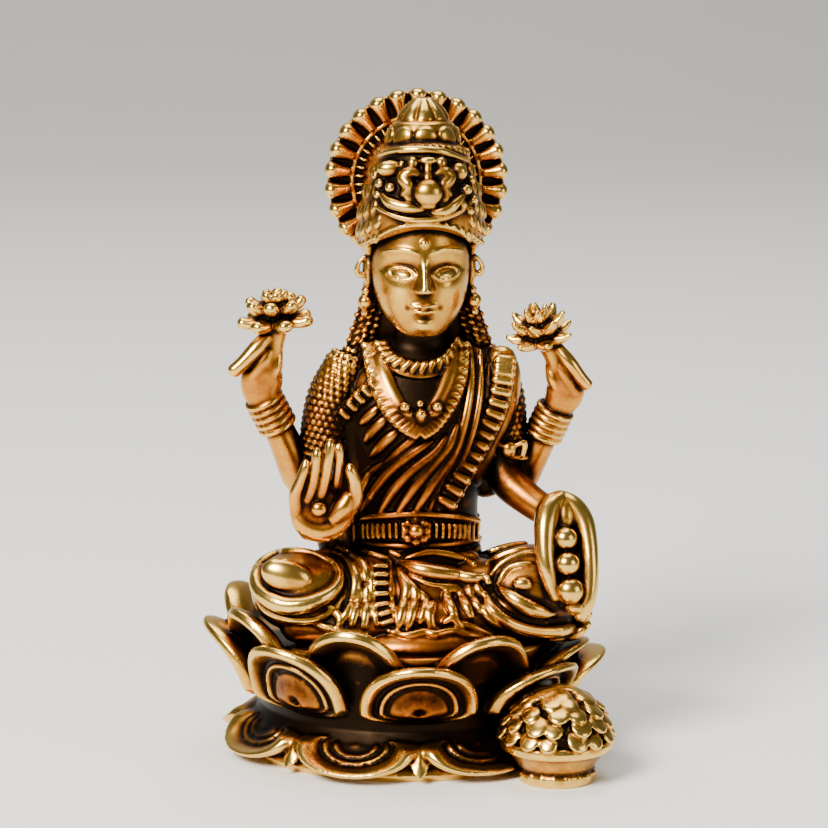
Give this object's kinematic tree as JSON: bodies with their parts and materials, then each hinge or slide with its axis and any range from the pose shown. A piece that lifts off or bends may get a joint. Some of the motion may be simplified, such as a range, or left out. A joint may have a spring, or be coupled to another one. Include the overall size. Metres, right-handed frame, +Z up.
{
  "type": "lakshmi figure",
  "caption": "Small cast brass figure of a four-armed goddess seated cross-legged on a double lotus base, with lotus flowers, an open palm, falling coins, a beaded halo and a pot of coins.",
  "frame": {"origin": "centre of the lotus base on its flat underside", "axes": "+Z up to the halo, -Y the way the figure faces, +X to the right of someone looking at its face"},
  "size_m": [0.0468, 0.0464, 0.0756],
  "materials": {
    "antique_brass": "cast, polished on the high places, dark antique patina in the recesses"
  },
  "bodies": {
    "root": {"lakshmi_figure": "antique_brass"}
  },
  "joints": []
}
